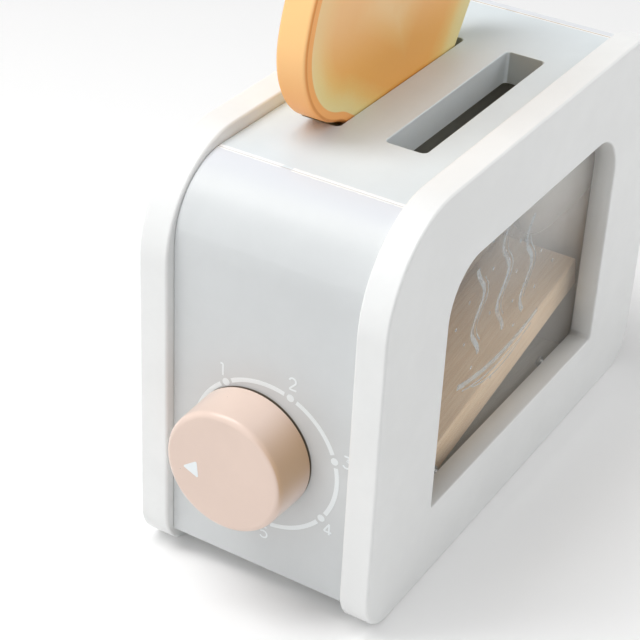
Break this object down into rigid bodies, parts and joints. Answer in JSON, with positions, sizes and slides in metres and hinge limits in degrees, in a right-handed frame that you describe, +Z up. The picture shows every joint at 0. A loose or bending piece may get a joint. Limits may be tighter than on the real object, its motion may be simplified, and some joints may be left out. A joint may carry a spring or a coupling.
{
  "type": "toy toaster",
  "caption": "Wooden pop-up toy toaster with arched side panels, a window, a turning dial, a lever that works a tilting lift tray, and a bread slice tipped in one of its slots.",
  "frame": {"origin": "on the floor under the middle of the body; the dial and the lever knob stand out equally at the two ends", "axes": "+X from the dial end to the lever end, +Y from the window side to the plain side, +Z up"},
  "size_m": [0.2213, 0.084, 0.2125],
  "materials": {
    "white_paint": "satin white paint on board",
    "grey_paint": "satin light blue-grey paint on wood",
    "pale_grey_paint": "satin pale grey paint on board",
    "bare_ply": "bare ply",
    "bare_board": "bare fibreboard",
    "bare_pine": "bare sanded wood",
    "beech": "bare turned beech",
    "peach_paint": "satin peach paint on turned wood",
    "bread_paint": "satin paint, orange crust and toasted face",
    "clear_plastic": "clear plastic sheet",
    "zinc_steel": "zinc-plated steel",
    "fibre": "vulcanised fibre",
    "elastic": "braided elastic cord"
  },
  "bodies": {
    "casing": {"side_panel_window": "white_paint", "side_panel_plain": "white_paint", "end_block_dial": "grey_paint", "end_block_lever": "grey_paint", "top_board": "pale_grey_paint", "base_board": "bare_ply", "divider_board": "bare_board", "window_pane": "clear_plastic", "pane_screws": "zinc_steel", "joining_dowels": "beech", "base_screws": "zinc_steel", "dial_washer_outer": "fibre", "dial_washer_inner": "zinc_steel", "tray_axle": "beech", "axle_spacers": "beech", "eye_upper": "zinc_steel", "return_elastic": "elastic"},
    "dial": {"dial_knob": "peach_paint", "dial_screw": "zinc_steel"},
    "tray": {"lift_tray": "bare_pine", "lever_arm": "beech", "lever_knob": "peach_paint", "eye_lower": "zinc_steel"},
    "slice": {"toast_slice": "bread_paint"}
  },
  "joints": [
    {"name": "dial_turn", "type": "hinge", "parent": "casing", "child": "dial", "pos_m": [-0.094, 0.0026, 0.0529], "axis": [1, 0, 0], "continuous": true},
    {"name": "lever_press", "type": "hinge", "parent": "casing", "child": "tray", "pos_m": [-0.0648, 0, 0.0185], "axis": [0, 1, 0], "range_deg": [0, 12], "stiffness_Nm_per_rad": 0.4, "springref_deg": -25.78, "deforming": ["return_elastic"]},
    {"name": "slice_lift", "type": "slide", "parent": "casing", "child": "slice", "axis": [0, 0, 1], "range_m": [0, 0.1]}
  ]
}
